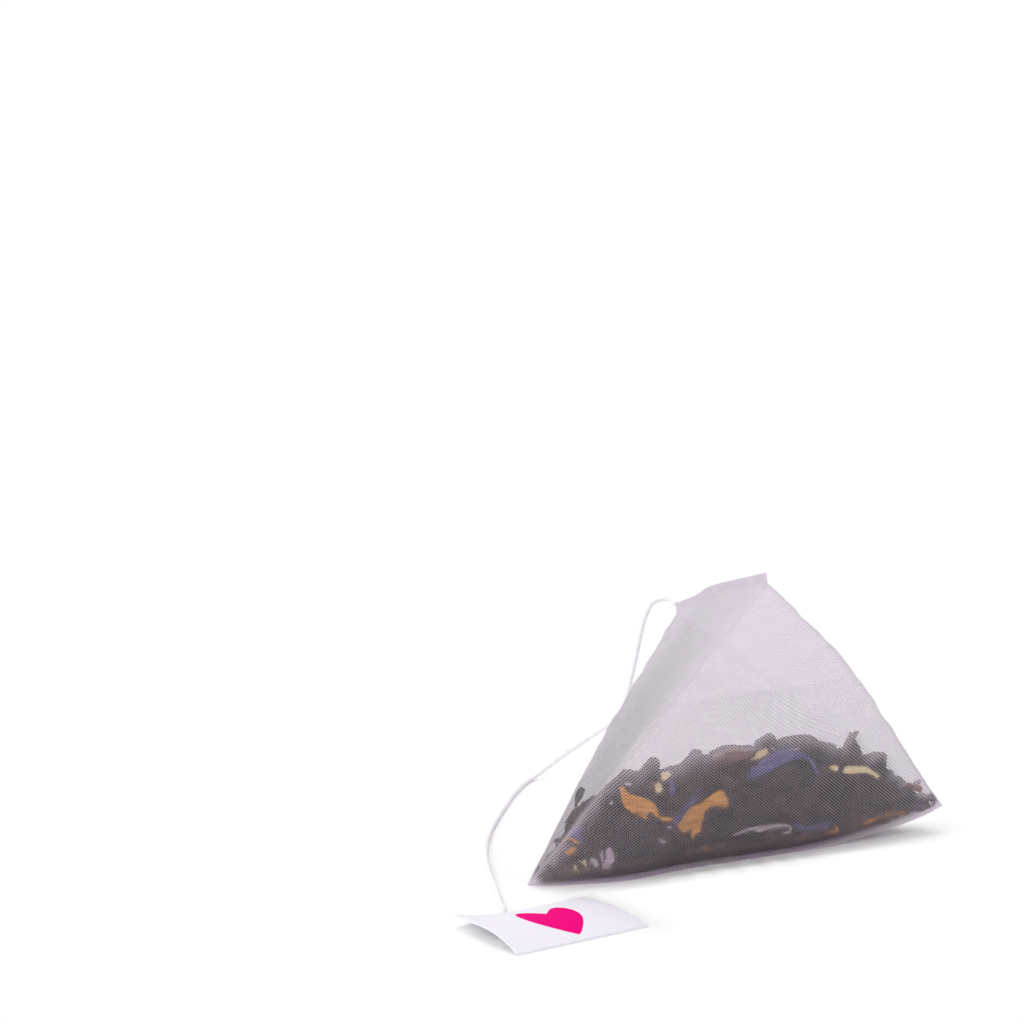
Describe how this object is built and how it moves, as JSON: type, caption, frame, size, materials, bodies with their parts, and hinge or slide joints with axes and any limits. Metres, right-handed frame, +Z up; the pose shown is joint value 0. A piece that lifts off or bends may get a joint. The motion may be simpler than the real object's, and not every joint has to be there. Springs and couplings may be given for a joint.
{
  "type": "pyramid tea bag",
  "caption": "Pyramid tea bag of sheer woven nylon film, filled with dark leaf tea and flower petals, with a white cotton string and a white paper tag with a pink heart.",
  "frame": {"origin": "on the surface that the bag stands on, under the middle of the box round the bag, without its string and tag", "axes": "+X along the bottom seal towards its lifted right end, +Y away from the front face towards the far end of the top seal, +Z up"},
  "size_m": [0.0817, 0.0751, 0.0428],
  "materials": {
    "nylon_film": "sheer woven nylon, half see-through, slightly shiny",
    "dark_tea": "dry dark leaf, matt",
    "orange_petal": "dry petal, matt",
    "yellow_petal": "dry petal, matt",
    "blue_petal": "dry petal, matt",
    "brown_leaf": "dry leaf, matt",
    "pale_petal": "dry petal, matt",
    "cotton": "twisted white cotton",
    "card": "uncoated white card with a pink printed heart"
  },
  "bodies": {
    "root": {"mesh_pouch": "nylon_film", "tea_leaf_heap": "dark_tea", "twisted_leaf_01": "dark_tea", "twisted_leaf_02": "dark_tea", "twisted_leaf_03": "dark_tea", "twisted_leaf_04": "dark_tea", "twisted_leaf_05": "dark_tea", "twisted_leaf_06": "dark_tea", "twisted_leaf_07": "dark_tea", "twisted_leaf_08": "dark_tea", "twisted_leaf_09": "dark_tea", "twisted_leaf_10": "dark_tea", "twisted_leaf_11": "dark_tea", "twisted_leaf_12": "dark_tea", "twisted_leaf_13": "dark_tea", "twisted_leaf_14": "dark_tea", "twisted_leaf_15": "dark_tea", "twisted_leaf_16": "dark_tea", "twisted_leaf_17": "dark_tea", "twisted_leaf_18": "dark_tea", "orange_petal_left": "orange_petal", "orange_petal_forked": "orange_petal", "orange_petal_low_right": "orange_petal", "orange_speck_low": "orange_petal", "yellow_petal_right": "yellow_petal", "yellow_speck_left": "yellow_petal", "ochre_fleck_upper": "yellow_petal", "tan_leaf_flake": "yellow_petal", "blue_petal_sliver": "blue_petal", "blue_petal_long": "blue_petal", "blue_petal_low": "blue_petal", "purple_speck_left": "blue_petal", "brown_leaf_stub": "brown_leaf", "brown_leaf_flake": "brown_leaf", "pale_curled_strand": "pale_petal", "pale_petal_clump": "pale_petal", "pale_glint_left": "pale_petal", "string": "cotton", "tag": "card"}
  },
  "joints": []
}
